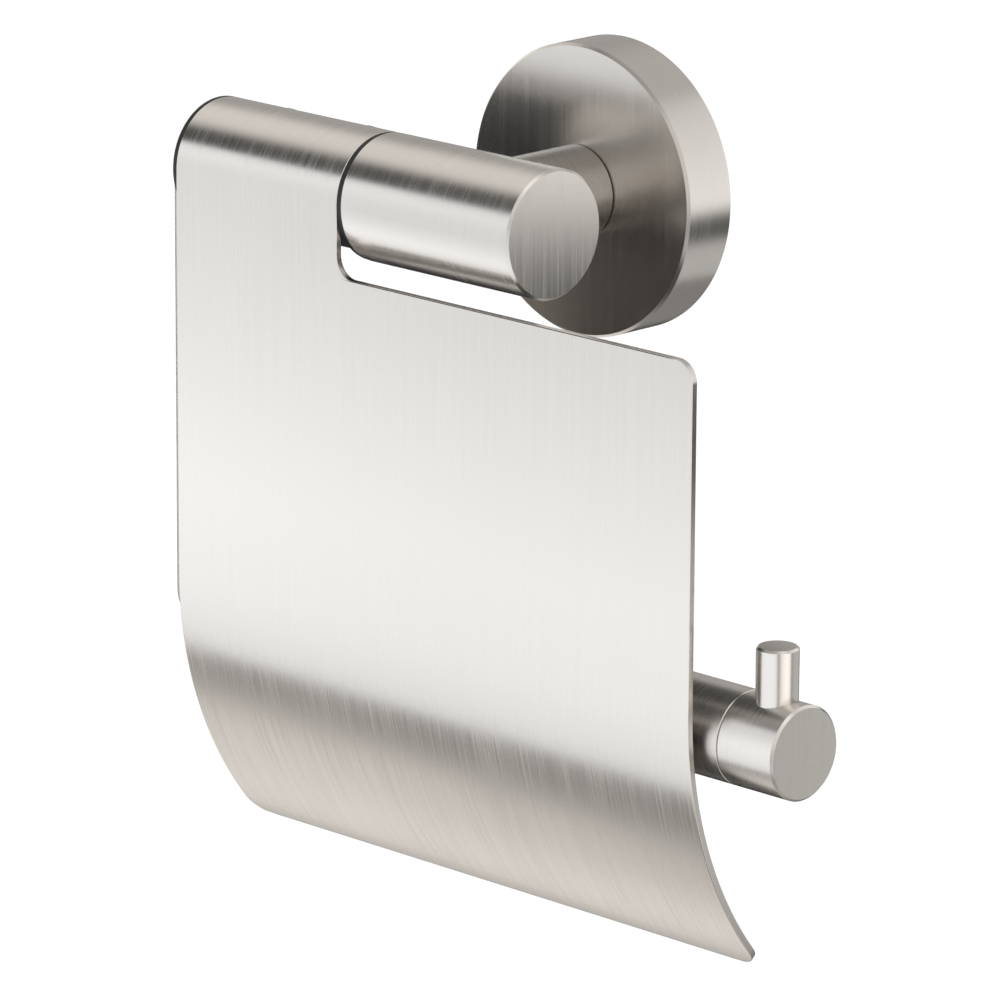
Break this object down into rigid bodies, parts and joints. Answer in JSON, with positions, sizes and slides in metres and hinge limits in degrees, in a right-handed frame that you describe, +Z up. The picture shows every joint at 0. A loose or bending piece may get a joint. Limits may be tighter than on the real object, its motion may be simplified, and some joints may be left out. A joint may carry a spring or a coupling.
{
  "type": "toilet paper holder",
  "caption": "Wall-hung toilet paper holder: round rosette, short post, hinged sheet cover with a curved lower edge, and a roll bar ending in an upright stop pin.",
  "frame": {"origin": "centre of the rosette, on the wall's surface", "axes": "+Y into the wall, +X to the right along the roll bar, +Z up"},
  "size_m": [0.1553, 0.0514, 0.1538],
  "materials": {
    "brushed_steel": "brushed satin",
    "black_plastic": "matt black acetal",
    "fastener": "plain zinc-plated fastener",
    "cast_plate": "plain die-cast plate"
  },
  "bodies": {
    "frame": {"wall_plate": "cast_plate", "rosette": "brushed_steel", "rosette_grub_screw": "fastener", "post": "brushed_steel", "post_screw": "fastener", "post_washer": "fastener", "post_dowel": "fastener", "holder_body": "brushed_steel", "spindle_grub_screw": "fastener", "hinge_spindle": "brushed_steel", "hinge_stop_pin": "fastener", "thrust_washer": "black_plastic", "side_arm": "brushed_steel", "roll_bar": "brushed_steel", "end_stud": "fastener", "end_stop": "brushed_steel", "stop_pin": "brushed_steel"},
    "cover": {"cover_flap": "brushed_steel", "hinge_bush": "black_plastic", "flap_screws": "fastener"}
  },
  "joints": [
    {"name": "flap_hinge", "type": "hinge", "parent": "frame", "child": "cover", "pos_m": [-0.0425, -0.0396, 0], "axis": [-1, 0, 0], "range_deg": [0, 88]}
  ]
}
